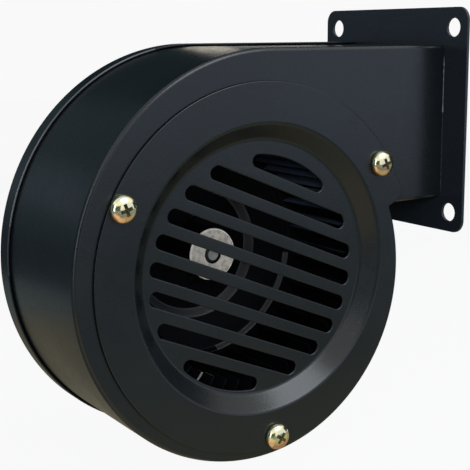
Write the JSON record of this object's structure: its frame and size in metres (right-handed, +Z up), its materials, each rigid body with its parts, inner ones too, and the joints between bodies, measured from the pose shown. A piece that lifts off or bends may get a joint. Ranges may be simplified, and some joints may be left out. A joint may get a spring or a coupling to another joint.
{
  "type": "centrifugal fan",
  "caption": "Snail-shaped centrifugal blower: pressed-steel scroll with a slotted round inlet cover, a square bolted outlet flange, a forward-curved wheel inside and a motor on the back.",
  "frame": {"origin": "centre of the outlet flange's face, midway between its four holes", "axes": "+X the way the air leaves the outlet, +Z up, -Y the inlet side; the fan's axis runs along Y"},
  "size_m": [0.1579, 0.1523, 0.1616],
  "materials": {
    "housing_paint": "satin black powder coat on pressed steel",
    "yellow_zinc": "yellow-passivated zinc on steel screws",
    "bright_zinc": "bright zinc plate",
    "wheel_paint": "thin black dip coat on pressed steel",
    "hub_alloy": "cast and turned, slightly grainy",
    "dark_steel": "oiled black",
    "shaft_steel": "ground",
    "felt": "pressed felt",
    "gasket_rubber": "matt",
    "bell_alloy": "die cast",
    "motor_paint": "satin black paint",
    "core_steel": "stacked laminations",
    "copper": "varnished enamelled copper wire",
    "rotor_alloy": "cast",
    "bearing_steel": "ground and polished",
    "cage_brass": "machined",
    "box_plastic": "fine grained",
    "block_plastic": "moulded",
    "lead_insulation": "smooth"
  },
  "bodies": {
    "housing": {"front_housing": "housing_paint", "rear_housing": "housing_paint", "outlet_flange": "housing_paint", "inlet_grille": "housing_paint", "grille_screws": "yellow_zinc", "back_plate_screws": "bright_zinc", "shaft_seal": "felt", "motor_gasket": "gasket_rubber", "motor_mount_screws": "bright_zinc", "motor_front_bell": "bell_alloy", "motor_case": "motor_paint", "motor_rear_bell": "bell_alloy", "motor_through_bolts": "bright_zinc", "stator_core": "core_steel", "stator_windings": "copper", "front_bearing_outer_ring": "bearing_steel", "rear_bearing_outer_ring": "bearing_steel", "bearing_wave_washer": "dark_steel", "terminal_box": "box_plastic", "terminal_box_lid": "box_plastic", "terminal_box_screws": "bright_zinc", "lid_screws": "bright_zinc", "terminal_block": "block_plastic", "run_capacitor": "block_plastic", "lead_grommet": "gasket_rubber", "lead_wires": "lead_insulation", "cable_gland": "box_plastic", "gland_locknut": "box_plastic", "gland_nut": "box_plastic", "earth_screw": "yellow_zinc"},
    "rotor": {"impeller_front_ring": "wheel_paint", "impeller_blades": "wheel_paint", "impeller_back_plate": "wheel_paint", "impeller_hub": "hub_alloy", "impeller_rivets": "dark_steel", "hub_grub_screws": "dark_steel", "motor_shaft": "shaft_steel", "shaft_circlips": "dark_steel", "rotor_core": "core_steel", "rotor_end_rings": "rotor_alloy", "front_bearing_inner_ring": "bearing_steel", "rear_bearing_inner_ring": "bearing_steel"},
    "front_cage": {"front_bearing_balls": "bearing_steel", "front_bearing_cage": "cage_brass"},
    "rear_cage": {"rear_bearing_balls": "bearing_steel", "rear_bearing_cage": "cage_brass"}
  },
  "joints": [
    {"name": "rotor_spin", "type": "hinge", "parent": "housing", "child": "rotor", "pos_m": [-0.0835, 0, -0.0488], "axis": [0, 1, 0], "continuous": true},
    {"name": "front_cage_spin", "type": "hinge", "parent": "housing", "child": "front_cage", "pos_m": [-0.0835, 0.0415, -0.0488], "axis": [0, 1, 0], "continuous": true},
    {"name": "rear_cage_spin", "type": "hinge", "parent": "housing", "child": "rear_cage", "pos_m": [-0.0835, 0.0983, -0.0488], "axis": [0, 1, 0], "continuous": true}
  ],
  "couplings": [
    {"joint": "front_cage_spin", "follows": "rotor_spin", "ratio": 0.368},
    {"joint": "rear_cage_spin", "follows": "rotor_spin", "ratio": 0.368}
  ]
}
